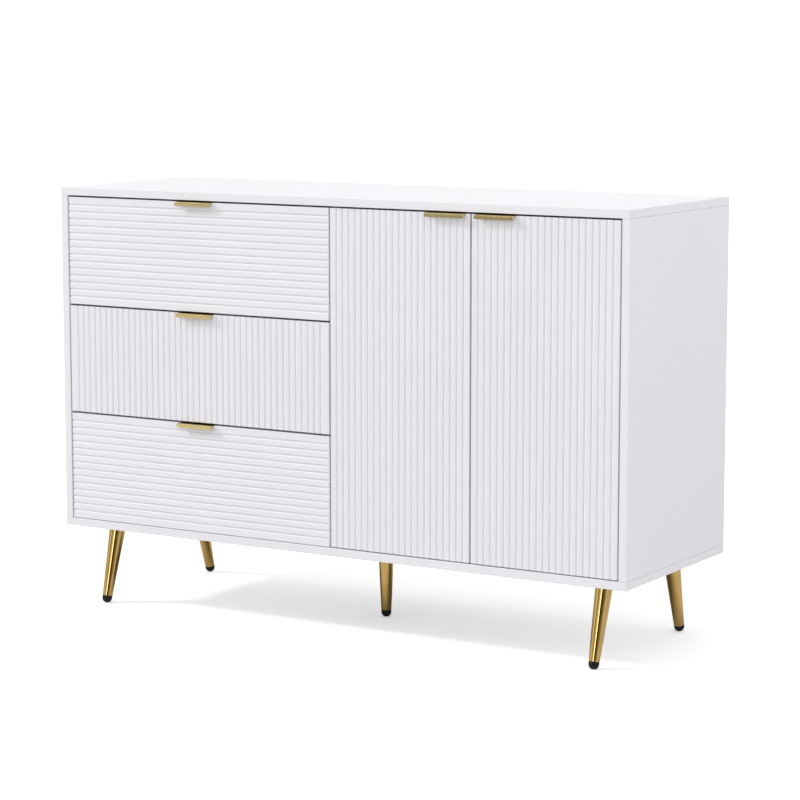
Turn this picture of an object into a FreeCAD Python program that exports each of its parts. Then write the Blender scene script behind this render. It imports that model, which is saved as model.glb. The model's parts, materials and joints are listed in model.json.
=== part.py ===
import FreeCAD, Part
import math
import os
import re
import Sketcher

# A white sideboard buffet on five splayed metal legs, with three drawers on the left and two
# doors on the right, all with reeded fronts and gold edge pulls.
#
# Frame: the origin is on the floor under the middle of the cabinet. X runs to the right of a
# person who faces the front, Y runs from the front to the back, and Z runs up. Sizes are mm.

SIZES = [
    # The cabinet
    ("width", 1200, "overall width"),
    ("depth", 400, "overall depth of the cabinet's boards"),
    ("height", 800, "floor to top"),
    ("leg_height", 150, "floor to the cabinet's underside"),
    ("board", 15, "thickness of the cabinet's boards"),
    ("edge_radius", 0.8, "rounding of the boards' edges"),
    ("divider_centre", 2, "middle of the divider, right of the cabinet's middle"),
    ("divider_setback", 25, "divider's front edge behind the cabinet's front"),
    ("back_thickness", 3, "thickness of the back panels"),
    ("back_inset", 12, "back panels' rear face from the cabinet's rear"),
    ("back_seat", 5, "depth of the grooves that hold the back panels"),
    ("strip_flange", 1, "flange thickness of the back joining strip"),
    ("strip_width", 20, "width of the back joining strip"),
    ("strip_web", 2, "web thickness of the back joining strip"),
    # The fronts and their reeds
    ("front_thickness", 18, "thickness of drawer fronts and doors"),
    ("front_recess", 1.5, "fronts behind the cabinet's front edges"),
    ("front_radius", 1, "rounding of the fronts' edges"),
    ("front_gap", 3.4, "gap between fronts, and right of the right door"),
    ("left_gap", 1.6, "gap left of the drawer fronts"),
    ("top_gap", 3.2, "gap over the top fronts"),
    ("drawer_floor_gap", 1, "gap under the bottom drawer front"),
    ("door_floor_gap", 1.8, "gap under the doors"),
    ("reed_depth", 2.3, "depth of the grooves between reeds"),
    ("reed_radius", 3.4, "radius of the reeds' shoulders"),
    ("groove_floor", 0.5, "flat floor of each groove"),
    ("overcut", 1, "how far a cutting profile stands clear of the face"),
    ("drawer_pitch", 13.33, "reed spacing on the drawer fronts"),
    ("drawer_grooves_flat", 14, "grooves across a drawer front with lying reeds"),
    ("drawer_grooves_upright", 42, "grooves across the drawer front with upright reeds"),
    ("door_reeds", 22, "reeds on each door"),
    # The edge pulls
    ("pull_length", 78, "length of an edge pull"),
    ("pull_sheet", 1.5, "sheet thickness of an edge pull"),
    ("pull_reach", 10, "lip's front face from the front's face"),
    ("pull_lip", 7.5, "height of the lip"),
    ("pull_flange", 22, "height of the flange behind the front"),
    ("pull_bend", 2.5, "outer radius of the lip's bend"),
    ("pull_bend_inner", 1, "inner radius of the lip's bend"),
    ("pull_bend_rear", 1.2, "outer radius of the flange's bend"),
    ("pull_corner", 1.5, "rounding of the lip's lower corners"),
    ("pull_door_offset", 9, "pull's end from the door's free edge"),
    ("pull_screw_inset", 16, "pull screw from the pull's end"),
    ("pull_screw_drop", 12, "pull screw below the front's top"),
    ("screw_diameter", 3.5, "shank of the pull screws"),
    ("screw_head", 7, "head diameter of the pull screws"),
    ("screw_head_height", 2, "head height of every screw"),
    ("screw_length", 12, "shank length of every screw"),
    # The drawer boxes and runners
    ("runner_space", 13, "space beside a drawer box for its runner"),
    ("box_board", 12, "thickness of a drawer box's boards"),
    ("box_height", 140, "height of a drawer box"),
    ("box_length", 345, "length of a drawer box behind its front"),
    ("box_lift", 20, "drawer box's underside above its front's lower edge"),
    ("box_bottom", 3, "thickness of a drawer bottom"),
    ("bottom_lift", 10, "drawer bottom above the box's underside"),
    ("bottom_seat", 6, "depth of the groove that holds a drawer bottom"),
    ("runner_length", 340, "length of a runner member"),
    ("runner_lift", 45, "runner's centre above the box's underside"),
    ("runner_sheet", 1.2, "sheet thickness of a runner member"),
    ("runner_setback", 6, "cabinet member behind the fronts"),
    ("rail_height", 45, "height of the cabinet's runner member"),
    ("rail_width", 9, "width of the cabinet's runner member"),
    ("slider_height", 36, "height of the drawer's runner member"),
    ("slider_width", 9.5, "width of the drawer's runner member"),
    # The doors' hinges
    ("hinge_end_distance", 100, "hinge's centre from the door's end"),
    ("cup_edge_distance", 21.5, "cup's centre from the door's edge"),
    ("cup_diameter", 35, "diameter of a hinge cup"),
    ("cup_depth", 12, "depth of a hinge cup"),
    ("cup_wall", 1, "wall of a hinge cup"),
    ("cup_flange", 1.2, "thickness of a hinge cup's flange"),
    ("cup_flange_width", 20, "width of a hinge cup's flange"),
    ("cup_flange_height", 56, "height of a hinge cup's flange"),
    ("arm_plate", 2.5, "thickness of a hinge arm's plate"),
    ("arm_plate_length", 45, "length of a hinge arm's plate"),
    ("arm_plate_height", 40, "height of a hinge arm's plate"),
    ("arm_thickness", 8, "thickness of a hinge arm"),
    ("arm_length", 65, "length of a hinge arm"),
    ("arm_height", 14, "height of a hinge arm"),
    ("arm_setback", 27, "front end of a hinge arm behind the cabinet's front"),
    # The shelf
    ("shelf_play", 1, "gap at each end of the shelf"),
    ("shelf_setback", 50, "shelf's front edge behind the cabinet's front"),
    ("shelf_rear_play", 2, "gap behind the shelf"),
    ("pin_diameter", 5, "diameter of a shelf pin"),
    ("pin_seat", 9, "depth of a shelf pin in its hole"),
    ("pin_step", 32, "spacing of the shelf pin holes"),
    ("pin_front", 80, "front pins behind the cabinet's front"),
    ("pin_rear", 330, "rear pins behind the cabinet's front"),
    # The cam fittings that join the boards
    ("cam_diameter", 15, "diameter of a cam lock"),
    ("cam_depth", 12, "depth of a cam lock"),
    ("cam_distance", 34, "cam lock's centre from the board's end"),
    ("cam_spread", 140, "cam locks in front of and behind the middle"),
    ("bolt_diameter", 6, "diameter of a cam bolt"),
    ("bolt_bite", 10, "depth of a cam bolt in the cross board"),
    # The legs
    ("leg_side_inset", 74, "leg's centre from the cabinet's side"),
    ("leg_end_inset", 67, "leg's centre from the cabinet's front or rear"),
    ("leg_lean", 15.6, "lean of the corner legs, in degrees"),
    ("leg_top_diameter", 32.4, "diameter of a leg's blank at its top"),
    ("leg_foot_diameter", 19, "diameter of a leg at its cap"),
    ("leg_wall", 1.5, "wall of a leg"),
    ("leg_waste", 8, "length of a leg's blank that the mitre takes off"),
    ("cap_radius", 9.5, "radius of a foot cap and its dome"),
    ("cap_band", 4, "straight band of a foot cap"),
    ("cap_flat", 0.5, "depth of the flat under a foot cap's dome"),
    ("plug_length", 8, "length of a cap's plug inside its leg"),
    ("plug_play", 0.2, "gap round a cap's plug"),
    ("plate_size", 66, "side of a leg plate"),
    ("plate_thickness", 3, "thickness of a leg plate"),
    ("plate_screw_offset", 25, "plate screw from the plate's middle"),
    ("plate_screw_diameter", 4, "shank of a plate screw"),
    ("plate_screw_head", 8, "head diameter of a plate screw"),
]

DRAWERS = ["bottom", "middle", "top"]
HOLE_ROWS = [-2, -1, 0, 1, 2]
CORNERS = [("front_left", -1, -1), ("front_right", 1, -1), ("rear_left", -1, 1), ("rear_right", 1, 1)]

# Places that many pieces share, as formulas of the sheet's aliases.
FRONT_EDGE = "(0 - depth / 2)"
FRONT_FACE = "(front_recess - depth / 2)"
FRONT_BACK = f"({FRONT_FACE} + front_thickness)"
BACK_REAR = "(depth / 2 - back_inset)"
BACK_FRONT = f"({BACK_REAR} - back_thickness)"
CABINET_FLOOR = "(leg_height + board)"
CABINET_CEILING = "(height - board)"
INNER_HEIGHT = f"({CABINET_CEILING} - {CABINET_FLOOR})"
LEFT_WALL = "(board - width / 2)"
RIGHT_WALL = "(width / 2 - board)"
DIVIDER_LEFT = "(divider_centre - board / 2)"
DIVIDER_RIGHT = "(divider_centre + board / 2)"
DIVIDER_REAR = f"({BACK_FRONT} - strip_flange)"
SHELF_UNDERSIDE = f"(({CABINET_FLOOR} + {CABINET_CEILING}) / 2)"

# The drawer fronts fill the left half of the opening and the doors the right half.
DRAWER_LEFT = f"({LEFT_WALL} + left_gap)"
DRAWER_WIDTH = f"(divider_centre - front_gap / 2 - {DRAWER_LEFT})"
DRAWER_HEIGHT = f"(({INNER_HEIGHT} - drawer_floor_gap - 2 * front_gap - top_gap) / 3)"
DOOR_WIDTH = f"(({RIGHT_WALL} - divider_centre - 2.5 * front_gap) / 2)"
DOOR_FLOOR = f"({CABINET_FLOOR} + door_floor_gap)"
DOOR_HEIGHT = f"({CABINET_CEILING} - top_gap - {DOOR_FLOOR})"
LEFT_DOOR = "(divider_centre + front_gap / 2)"
RIGHT_DOOR = f"({LEFT_DOOR} + {DOOR_WIDTH} + front_gap)"

# The drawer boxes hang between the left wall and the divider.
BOX_LEFT = f"({LEFT_WALL} + runner_space)"
BOX_RIGHT = f"({DIVIDER_LEFT} - runner_space)"
BOX_REAR = f"({FRONT_BACK} + box_length)"

doc = FreeCAD.newDocument("Sideboard")
sheet = doc.addObject("Spreadsheet::Sheet", "Sizes")
aliases = {alias for alias, value, note in SIZES}
nodes = []

# Turns that take a primitive's own Z axis to the named direction.
TURNS = {
    "+x": FreeCAD.Rotation(FreeCAD.Vector(0, 1, 0), 90),
    "-x": FreeCAD.Rotation(FreeCAD.Vector(0, 1, 0), -90),
    "+y": FreeCAD.Rotation(FreeCAD.Vector(1, 0, 0), -90),
    "-y": FreeCAD.Rotation(FreeCAD.Vector(1, 0, 0), 90),
    "+z": FreeCAD.Rotation(),
}


def fill_sheet():
    """Write every driving dimension to the sheet: its note, and its value under an alias."""
    for row, (alias, value, note) in enumerate(SIZES, start=1):
        sheet.set(f"A{row}", note)
        sheet.set(f"B{row}", str(value))
        sheet.setAlias(f"B{row}", alias)
    doc.recompute()


def in_sheet(formula):
    """Point each alias in a formula at the sheet."""
    return re.sub(r"[a-z_]+", lambda word: f"Sizes.{word[0]}" if word[0] in aliases else word[0], formula)


def bind(item, **formulas):
    """Bind properties of an object to formulas of the sheet."""
    for name, formula in formulas.items():
        item.setExpression(name, in_sheet(formula))


def place(item, x, y, z, turn="+z"):
    """Give an object its placement: a turn, and a position bound to the sheet."""
    item.Placement = FreeCAD.Placement(FreeCAD.Vector(), TURNS[turn])
    for axis, formula in zip("xyz", (x, y, z)):
        item.setExpression(f"Placement.Base.{axis}", in_sheet(formula))


def box(name, x, y, z, length, width, height):
    """A plain box, given by its lowest corner and its sizes along X, Y and Z."""
    item = doc.addObject("Part::Box", name)
    bind(item, Length=length, Width=width, Height=height)
    place(item, x, y, z)
    return item


def cylinder(name, x, y, z, radius, height, turn="+z"):
    """A plain cylinder that starts at a point and runs in the turn's direction."""
    item = doc.addObject("Part::Cylinder", name)
    bind(item, Radius=radius, Height=height)
    place(item, x, y, z, turn)
    return item


def group(name, items):
    """Separate solids of one kind, kept together."""
    item = doc.addObject("Part::Compound", name)
    item.Links = items
    return item


def fuse(name, items):
    """One solid made of several that touch or overlap."""
    item = doc.addObject("Part::MultiFuse", name)
    item.Shapes = items
    return item


def cut(name, base, tools):
    """Take tools out of a solid one after another, and make sure that each takes something."""
    for number, tool in enumerate(tools, start=1):
        item = doc.addObject("Part::Cut", f"{name}_cut_{number}")
        item.Base = base
        item.Tool = tool
        doc.recompute()
        if not item.Shape.Volume < base.Shape.Volume - 0.1:
            raise ValueError(f"{tool.Name} takes nothing out of {name}")
        base = item
    return base


def rounded_board(name, x, y, z, length, width, height):
    """A board with every edge rounded a little."""
    blank = box(f"{name}_blank", x, y, z, length, width, height)
    doc.recompute()
    item = doc.addObject("Part::Fillet", f"{name}_rounded")
    item.Base = blank
    radius = sheet.get("edge_radius")
    item.Edges = [(number, radius, radius) for number in range(1, len(blank.Shape.Edges) + 1)]
    return item


def node(name, item):
    """Keep a finished sub-part under its own name."""
    item.Label = name
    nodes.append(item)
    return item


def edges_where(shape, test):
    """Names of the edges whose middle point and direction pass a test."""
    names = []
    for number, edge in enumerate(shape.Edges, start=1):
        first, last = edge.firstVertex().Point, edge.lastVertex().Point
        if test((first + last) * 0.5, last - first):
            names.append(f"Edge{number}")
    return names


def origin_feature(body, role):
    """One of a body's own origin planes or axes."""
    return next(item for item in body.Origin.OriginFeatures if item.Role == role)


def draw_groove(sketch):
    """Draw one groove's section, centred on the sketch's vertical axis and cut from y = 0.

    Each shoulder is an arc that leaves the face smoothly and ends at a narrow flat floor.
    """
    depth = sheet.get("reed_depth")
    radius = sheet.get("reed_radius")
    floor = sheet.get("groove_floor") / 2
    clear = sheet.get("overcut")
    rise = radius - depth
    half = floor + math.sqrt(radius ** 2 - rise ** 2)
    slope = math.asin(rise / radius)
    point = FreeCAD.Vector
    up = point(0, 0, 1)
    right_circle = Part.Circle(point(half, radius, 0), up, radius)
    left_circle = Part.Circle(point(-half, radius, 0), up, radius)
    sketch.addGeometry([
        Part.LineSegment(point(-half, -clear, 0), point(half, -clear, 0)),
        Part.LineSegment(point(half, -clear, 0), point(half, 0, 0)),
        Part.ArcOfCircle(right_circle, math.pi + slope, 1.5 * math.pi),
        Part.LineSegment(point(floor, depth, 0), point(-floor, depth, 0)),
        Part.ArcOfCircle(left_circle, -0.5 * math.pi, -slope),
        Part.LineSegment(point(-half, 0, 0), point(-half, -clear, 0)),
    ], False)
    joined = [(0, 2, 1, 1), (1, 2, 2, 2), (2, 1, 3, 1), (3, 2, 4, 2), (4, 1, 5, 1), (5, 2, 0, 1)]
    for first, first_end, second, second_end in joined:
        sketch.addConstraint(Sketcher.Constraint("Coincident", first, first_end, second, second_end))
    sketch.addConstraint(Sketcher.Constraint("Vertical", 1))
    sketch.addConstraint(Sketcher.Constraint("Vertical", 5))
    sketch.addConstraint(Sketcher.Constraint("Symmetric", 0, 1, 0, 2, -2))
    sketch.addConstraint(Sketcher.Constraint("Symmetric", 3, 1, 3, 2, -2))
    sketch.addConstraint(Sketcher.Constraint("Vertical", 2, 2, 2, 3))
    sketch.addConstraint(Sketcher.Constraint("Vertical", 4, 1, 4, 3))
    sketch.addConstraint(Sketcher.Constraint("PointOnObject", 2, 2, -1))
    sketch.addConstraint(Sketcher.Constraint("Equal", 2, 4))
    driven = [
        (Sketcher.Constraint("Radius", 2, radius), "reed_radius"),
        (Sketcher.Constraint("DistanceX", 3, 2, 3, 1, 2 * floor), "groove_floor"),
        (Sketcher.Constraint("DistanceY", -1, 1, 3, 1, depth), "reed_depth"),
        (Sketcher.Constraint("DistanceY", 1, 1, 1, 2, clear), "overcut"),
    ]
    for constraint, formula in driven:
        number = sketch.addConstraint(constraint)
        sketch.setExpression(f"Constraints[{number}]", in_sheet(formula))


def fluted_slab(name, x, z, length, height, upright, grooves, pitch):
    """A front with reeds across its whole face, upright or lying, centred on the face."""
    body = doc.addObject("PartDesign::Body", name)
    place(body, x, FRONT_FACE, z)
    slab = body.newObject("PartDesign::AdditiveBox", f"{name}_slab")
    bind(slab, Length=length, Width="front_thickness", Height=height)
    doc.recompute()

    softened = body.newObject("PartDesign::Fillet", f"{name}_softened")
    softened.Base = (slab, [f"Edge{number}" for number in range(1, len(slab.Shape.Edges) + 1)])
    bind(softened, Radius="front_radius")
    doc.recompute()

    sketch = body.newObject("Sketcher::SketchObject", f"{name}_groove_section")
    plane = "XY_Plane" if upright else "YZ_Plane"
    sketch.AttachmentSupport = (origin_feature(body, plane), [""])
    sketch.MapMode = "FlatFace"
    across = length if upright else height
    first = in_sheet(f"({across} - ({grooves} - 1) * {pitch}) / 2")
    if upright:
        sketch.setExpression("AttachmentOffset.Base.x", first)
    else:
        quarter_turn = FreeCAD.Rotation(FreeCAD.Vector(0, 0, 1), -90)
        sketch.AttachmentOffset = FreeCAD.Placement(FreeCAD.Vector(), quarter_turn)
        sketch.setExpression("AttachmentOffset.Base.y", first)
    draw_groove(sketch)
    doc.recompute()

    groove = body.newObject("PartDesign::Pocket", f"{name}_groove")
    groove.Profile = sketch
    groove.Type = "ThroughAll"
    groove.Reversed = True
    doc.recompute()
    if not groove.Shape.Volume < softened.Shape.Volume - 1:
        raise ValueError(f"the groove misses {name}")

    row = body.newObject("PartDesign::LinearPattern", f"{name}_grooves")
    row.Originals = [groove]
    row.Direction = (origin_feature(body, "X_Axis" if upright else "Z_Axis"), [""])
    bind(row, Length=f"({grooves} - 1) * {pitch}", Occurrences=grooves)
    body.Tip = row
    doc.recompute()
    return body


def edge_pull(name, x, z_top):
    """A bent sheet pull: it lies over the front's top edge, with a lip in front and a flange behind."""
    body = doc.addObject("PartDesign::Body", name)
    place(body, x, FRONT_FACE, z_top)
    plates = {
        "top": ("0 - pull_reach", "0 - pull_sheet", "pull_reach + front_thickness + pull_sheet", "pull_sheet"),
        "lip": ("0 - pull_reach", "0 - pull_lip", "pull_sheet", "pull_lip"),
        "flange": ("front_thickness", "0 - pull_flange", "pull_sheet", "pull_flange"),
    }
    for part, (y, z, width, height) in plates.items():
        plate = body.newObject("PartDesign::AdditiveBox", f"{name}_{part}")
        bind(plate, Length="pull_length", Width=width, Height=height)
        place(plate, "0", y, z)
        doc.recompute()

    reach = -sheet.get("pull_reach")
    sheet_thickness = sheet.get("pull_sheet")
    rear = sheet.get("front_thickness") + sheet_thickness
    lip_foot = -sheet.get("pull_lip")
    bends = {
        "bend": (reach, 0, "pull_bend"),
        "inner_bend": (reach + sheet_thickness, -sheet_thickness, "pull_bend_inner"),
        "rear_bend": (rear, 0, "pull_bend_rear"),
    }
    for part, (y, z, radius) in bends.items():
        base = body.Tip
        found = edges_where(
            base.Shape,
            lambda middle, run: abs(middle.y - y) < 0.01 and abs(middle.z - z) < 0.01 and abs(run.x) > 1,
        )
        bend = body.newObject("PartDesign::Fillet", f"{name}_{part}")
        bend.Base = (base, found)
        bind(bend, Radius=radius)
        doc.recompute()

    base = body.Tip
    found = edges_where(base.Shape, lambda middle, run: abs(middle.z - lip_foot) < 0.01 and abs(run.y) > 1)
    corners = body.newObject("PartDesign::Fillet", f"{name}_corners")
    corners.Base = (base, found)
    bind(corners, Radius="pull_corner")
    doc.recompute()
    return body


def pull_screws(name, x, z_top):
    """The two pan-head screws that hold a pull's flange to the back of its front."""
    screws = []
    for number, offset in enumerate(("pull_screw_inset", "pull_length - pull_screw_inset"), start=1):
        across = f"{x} + {offset}"
        up = f"{z_top} - pull_screw_drop"
        seat = f"{FRONT_BACK} + pull_sheet"
        shank = cylinder(f"{name}_shank_{number}", across, seat, up, "screw_diameter / 2", "screw_length", "-y")
        head = cylinder(f"{name}_head_{number}", across, seat, up, "screw_head / 2", "screw_head_height", "+y")
        screws.append(fuse(f"{name}_{number}", [shank, head]))
    return group(name, screws)


def add_front(name, slab, pull_x, z_top, prefix, seated):
    """A front with its pull and screws let into it, and seats for the other pieces given."""
    pull = edge_pull(f"{prefix}_pull_body", pull_x, z_top)
    screws = pull_screws(f"{prefix}_pull_screw_group", pull_x, z_top)
    node(name, cut(name, slab, [pull, screws] + seated))
    node(f"{prefix}_pull", cut(f"{prefix}_pull", pull, [screws]))
    node(f"{prefix}_pull_screws", screws)


def add_cam_fittings():
    """Cam locks in the three upright boards, with their bolts into the top and bottom boards."""
    uprights = [
        ("left", LEFT_WALL, "-x", "board / 2 - width / 2"),
        ("centre", DIVIDER_LEFT, "+x", "divider_centre"),
        ("right", RIGHT_WALL, "+x", "width / 2 - board / 2"),
    ]
    grip = "(cam_distance - cam_diameter / 2)"
    ends = [
        ("low", f"{CABINET_FLOOR} + cam_distance", f"{CABINET_FLOOR} - bolt_bite"),
        ("high", f"{CABINET_CEILING} - cam_distance", f"{CABINET_CEILING} - {grip}"),
    ]
    locks = []
    bolts = []
    for side, face, turn, middle in uprights:
        for end, lock_z, bolt_z in ends:
            for way, y in (("front", "0 - cam_spread"), ("rear", "cam_spread")):
                tag = f"{side}_{end}_{way}"
                locks.append(cylinder(f"lock_{tag}", face, y, lock_z, "cam_diameter / 2", "cam_depth", turn))
                bolts.append(cylinder(f"bolt_{tag}", middle, y, bolt_z, "bolt_diameter / 2", f"{grip} + bolt_bite"))
    return node("cam_locks", group("cam_locks", locks)), node("cam_bolts", group("cam_bolts", bolts))


def add_back():
    """Two thin back panels in grooves, joined behind the divider by an H-shaped strip."""
    foot = f"{CABINET_FLOOR} - back_seat"
    rise = f"{INNER_HEIGHT} + 2 * back_seat"
    start = f"{LEFT_WALL} - back_seat"
    split_left = "divider_centre - strip_web / 2"
    split_right = "divider_centre + strip_web / 2"
    left = box("left_back_panel", start, BACK_FRONT, foot, f"{split_left} - ({start})", "back_thickness", rise)
    right = box(
        "right_back_panel", split_right, BACK_FRONT, foot,
        f"{RIGHT_WALL} + back_seat - ({split_right})", "back_thickness", rise,
    )
    web = box("strip_web", split_left, BACK_FRONT, CABINET_FLOOR, "strip_web", "back_thickness", INNER_HEIGHT)
    flanges = [
        box(f"strip_{way}_flange", "divider_centre - strip_width / 2", y, CABINET_FLOOR,
            "strip_width", "strip_flange", INNER_HEIGHT)
        for way, y in (("front", DIVIDER_REAR), ("rear", BACK_REAR))
    ]
    node("left_back_panel", left)
    node("right_back_panel", right)
    node("back_joining_strip", fuse("back_joining_strip", [web] + flanges))
    return left, right


def add_shelf():
    """The adjustable shelf on its four pins; returns the cutters for every pin hole."""
    left = f"{DIVIDER_RIGHT} + shelf_play"
    front = f"{FRONT_EDGE} + shelf_setback"
    length = f"{RIGHT_WALL} - {DIVIDER_RIGHT} - 2 * shelf_play"
    width = f"{BACK_FRONT} - shelf_rear_play - ({front})"
    node("adjustable_shelf", rounded_board("adjustable_shelf", left, front, SHELF_UNDERSIDE, length, width, "board"))

    pin_z = f"{SHELF_UNDERSIDE} - pin_diameter / 2"
    pins = []
    holes = {"divider": [], "wall": []}
    for side, start, turn in (("divider", DIVIDER_RIGHT, "-x"), ("wall", RIGHT_WALL, "+x")):
        inner = f"{start} + pin_seat" if side == "divider" else f"{start} - pin_seat"
        for way, y in (("front", f"{FRONT_EDGE} + pin_front"), ("rear", f"{FRONT_EDGE} + pin_rear")):
            pins.append(cylinder(f"pin_{side}_{way}", inner, y, pin_z, "pin_diameter / 2", "2 * pin_seat", turn))
            for row in HOLE_ROWS:
                tag = f"hole_{side}_{way}_{row + len(HOLE_ROWS)}"
                z = f"{pin_z} + {row} * pin_step"
                holes[side].append(cylinder(tag, start, y, z, "pin_diameter / 2", "pin_seat", turn))
    node("shelf_pins", group("shelf_pins", pins))
    return group("divider_pin_holes", holes["divider"]), group("wall_pin_holes", holes["wall"])


def add_carcass(locks, bolts, plate_screws):
    """The five boards of the cabinet, each with seats for what is let into it."""
    backs = add_back()
    divider_holes, wall_holes = add_shelf()
    boards = [
        ("top_panel", "0 - width / 2", FRONT_EDGE, CABINET_CEILING, "width", "depth", "board",
         [bolts, *backs]),
        ("bottom_panel", "0 - width / 2", FRONT_EDGE, "leg_height", "width", "depth", "board",
         [bolts, *backs, plate_screws]),
        ("left_side_panel", "0 - width / 2", FRONT_EDGE, CABINET_FLOOR, "board", "depth", INNER_HEIGHT,
         [locks, bolts, backs[0]]),
        ("right_side_panel", RIGHT_WALL, FRONT_EDGE, CABINET_FLOOR, "board", "depth", INNER_HEIGHT,
         [locks, bolts, backs[1], wall_holes]),
        ("centre_divider", DIVIDER_LEFT, f"{FRONT_EDGE} + divider_setback", CABINET_FLOOR, "board",
         f"{DIVIDER_REAR} - {FRONT_EDGE} - divider_setback", INNER_HEIGHT, [locks, bolts, divider_holes]),
    ]
    for name, x, y, z, length, width, height, tools in boards:
        node(name, cut(name, rounded_board(name, x, y, z, length, width, height), tools))


def leg_place(item, x, underside_y, lean_sign, along):
    """Stand an item on a leg's axis, at a distance along it from the centre of the cap's dome."""
    dome_z = "(cap_radius - cap_flat)"
    lean = f"({lean_sign} * leg_lean)"
    item.Placement = FreeCAD.Placement(FreeCAD.Vector(), FreeCAD.Rotation(FreeCAD.Vector(1, 0, 0), 1))
    bind(item, **{
        "Placement.Rotation.Angle": lean,
        "Placement.Base.x": x,
        "Placement.Base.y": f"{underside_y} + (leg_height - {dome_z}) * tan({lean}) - {along} * sin({lean})",
        "Placement.Base.z": f"{dome_z} + {along} * cos({lean})",
    })


def add_leg(name, x, y, lean_sign):
    """A tapered tube leg, mitred flat against its plate, and its cap: half a ball, a band and a plug.

    The lean sign is 1 where the foot stands behind the leg's top, -1 in front of it, 0 under it.
    """
    steep = f"cos({lean_sign} * leg_lean)"
    plate_underside = "(leg_height - plate_thickness)"
    length = f"({plate_underside} - cap_radius + cap_flat) / {steep} - cap_band + leg_waste"
    shell = doc.addObject("Part::Cone", f"{name}_shell")
    bind(shell, Radius1="leg_foot_diameter / 2", Radius2="leg_top_diameter / 2", Height=length)
    leg_place(shell, x, y, lean_sign, "cap_band")
    bore = doc.addObject("Part::Cone", f"{name}_bore")
    bind(bore, Radius1="leg_foot_diameter / 2 - leg_wall", Radius2="leg_top_diameter / 2 - leg_wall", Height=length)
    leg_place(bore, x, y, lean_sign, "cap_band")
    waste = box(
        f"{name}_waste", f"{x} - plate_size / 2", f"{y} - plate_size / 2", plate_underside,
        "plate_size", "plate_size", "2 * leg_waste",
    )
    node(f"{name}_leg", cut(f"{name}_leg", shell, [bore, waste]))

    dome = doc.addObject("Part::Sphere", f"{name}_dome")
    dome.Angle2 = 0
    bind(dome, Radius="cap_radius")
    leg_place(dome, x, y, lean_sign, "0")
    band = doc.addObject("Part::Cylinder", f"{name}_band")
    bind(band, Radius="cap_radius", Height="cap_band")
    leg_place(band, x, y, lean_sign, "0")
    plug = doc.addObject("Part::Cylinder", f"{name}_plug")
    bind(plug, Radius="leg_foot_diameter / 2 - leg_wall - plug_play", Height="plug_length")
    leg_place(plug, x, y, lean_sign, "cap_band")
    below = box(
        f"{name}_below_floor", f"{x} - 2 * plate_size", f"{y} - 2 * plate_size", "0 - 2 * cap_radius",
        "4 * plate_size", "4 * plate_size", "2 * cap_radius",
    )
    node(f"{name}_foot_cap", cut(f"{name}_foot_cap", fuse(f"{name}_cap_blank", [dome, band, plug]), [below]))


def add_legs():
    """Four splayed corner legs and an upright one in the middle, each on a screwed plate."""
    stands = [("centre", "0", "0", 0)]
    for name, side, end in CORNERS:
        x = f"({side} * (width / 2 - leg_side_inset))"
        y = f"({end} * (depth / 2 - leg_end_inset))"
        stands.append((name, x, y, end))

    plates = []
    screws = []
    for name, x, y, lean_sign in stands:
        add_leg(name, x, y, lean_sign)
        plates.append(box(
            f"{name}_plate", f"{x} - plate_size / 2", f"{y} - plate_size / 2", "leg_height - plate_thickness",
            "plate_size", "plate_size", "plate_thickness",
        ))
        for corner, side, end in CORNERS:
            across = f"{x} + {side} * plate_screw_offset"
            along = f"{y} + {end} * plate_screw_offset"
            up = "leg_height - plate_thickness"
            tag = f"{name}_plate_{corner}"
            shank = cylinder(f"{tag}_shank", across, along, up, "plate_screw_diameter / 2", "screw_length")
            head = cylinder(f"{tag}_head", across, along, f"{up} - screw_head_height",
                            "plate_screw_head / 2", "screw_head_height")
            screws.append(fuse(f"{tag}_screw", [shank, head]))
    plate_screws = node("leg_plate_screws", group("leg_plate_screws", screws))
    node("leg_plates", cut("leg_plates", group("leg_plate_blanks", plates), [plate_screws]))
    return plate_screws


def channel(name, x, z, opens_right, width, height, y):
    """A runner member: a channel that lies along Y and opens to one side."""
    outer = box(f"{name}_outer", x, y, f"{z} - {height} / 2", width, "runner_length", height)
    inner_x = f"{x} + runner_sheet" if opens_right else f"{x} - runner_sheet"
    inner = box(
        f"{name}_inner", inner_x, y, f"{z} - {height} / 2 + runner_sheet",
        width, "runner_length", f"{height} - 2 * runner_sheet",
    )
    return cut(name, outer, [inner])


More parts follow.
